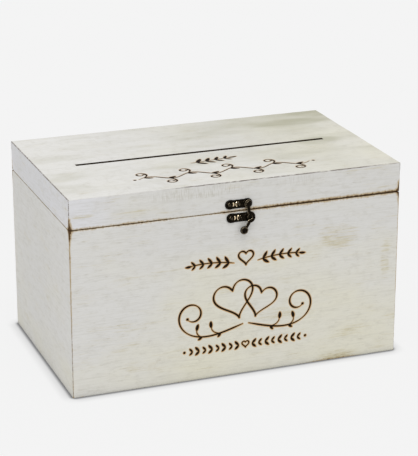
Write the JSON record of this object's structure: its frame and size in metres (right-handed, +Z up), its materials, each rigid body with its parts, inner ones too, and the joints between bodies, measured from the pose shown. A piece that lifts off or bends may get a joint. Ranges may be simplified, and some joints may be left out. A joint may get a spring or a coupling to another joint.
{
  "type": "wedding card box",
  "caption": "Whitewashed wooden card box: mitred walls, a rebated floor, a rear-hinged lid with a long slot for envelopes, and a small front swing latch.",
  "frame": {"origin": "middle of the box's footprint, on the surface it stands on", "axes": "+Z up, +Y towards the hinges (the latch faces -Y), +X to the right as seen from the latch"},
  "size_m": [0.33, 0.2092, 0.194],
  "materials": {
    "whitewashed_wood": "white wash brushed thin over pine, edges rubbed back to brown",
    "plywood": "bare",
    "antique_bronze": "dark antique bronze, bright on the high spots",
    "bright_steel": "plain"
  },
  "bodies": {
    "box": {"back_panel": "whitewashed_wood", "bottom_brad_1": "bright_steel", "bottom_brad_2": "bright_steel", "bottom_brad_3": "bright_steel", "bottom_brad_4": "bright_steel", "bottom_brad_5": "bright_steel", "bottom_brad_6": "bright_steel", "bottom_brad_7": "bright_steel", "bottom_brad_8": "bright_steel", "bottom_panel": "plywood", "catch_plate": "antique_bronze", "catch_screw_1": "antique_bronze", "catch_screw_2": "antique_bronze", "catch_stud": "antique_bronze", "front_panel": "whitewashed_wood", "hinge_left_body_leaf": "antique_bronze", "hinge_left_body_screw_1": "antique_bronze", "hinge_left_body_screw_2": "antique_bronze", "hinge_left_pin": "antique_bronze", "hinge_right_body_leaf": "antique_bronze", "hinge_right_body_screw_1": "antique_bronze", "hinge_right_body_screw_2": "antique_bronze", "hinge_right_pin": "antique_bronze", "left_panel": "whitewashed_wood", "right_panel": "whitewashed_wood"},
    "lid": {"hinge_left_lid_leaf": "antique_bronze", "hinge_left_lid_screw_1": "antique_bronze", "hinge_left_lid_screw_2": "antique_bronze", "hinge_right_lid_leaf": "antique_bronze", "hinge_right_lid_screw_1": "antique_bronze", "hinge_right_lid_screw_2": "antique_bronze", "latch_plate": "antique_bronze", "latch_rivet": "antique_bronze", "latch_screw_1": "antique_bronze", "latch_screw_2": "antique_bronze", "lid_back_rail": "whitewashed_wood", "lid_front_rail": "whitewashed_wood", "lid_left_rail": "whitewashed_wood", "lid_right_rail": "whitewashed_wood", "lid_top_panel": "whitewashed_wood"},
    "latch_arm": {"latch_arm": "antique_bronze"}
  },
  "joints": [
    {"name": "lid_hinge", "type": "hinge", "parent": "box", "child": "lid", "pos_m": [0, 0.1023, 0.1648], "axis": [-1, 0, 0], "range_deg": [0, 180]},
    {"name": "latch_swing", "type": "hinge", "parent": "lid", "child": "latch_arm", "pos_m": [0.0079, -0.102, 0.1718], "axis": [0, -1, 0], "range_deg": [0, 180]}
  ]
}
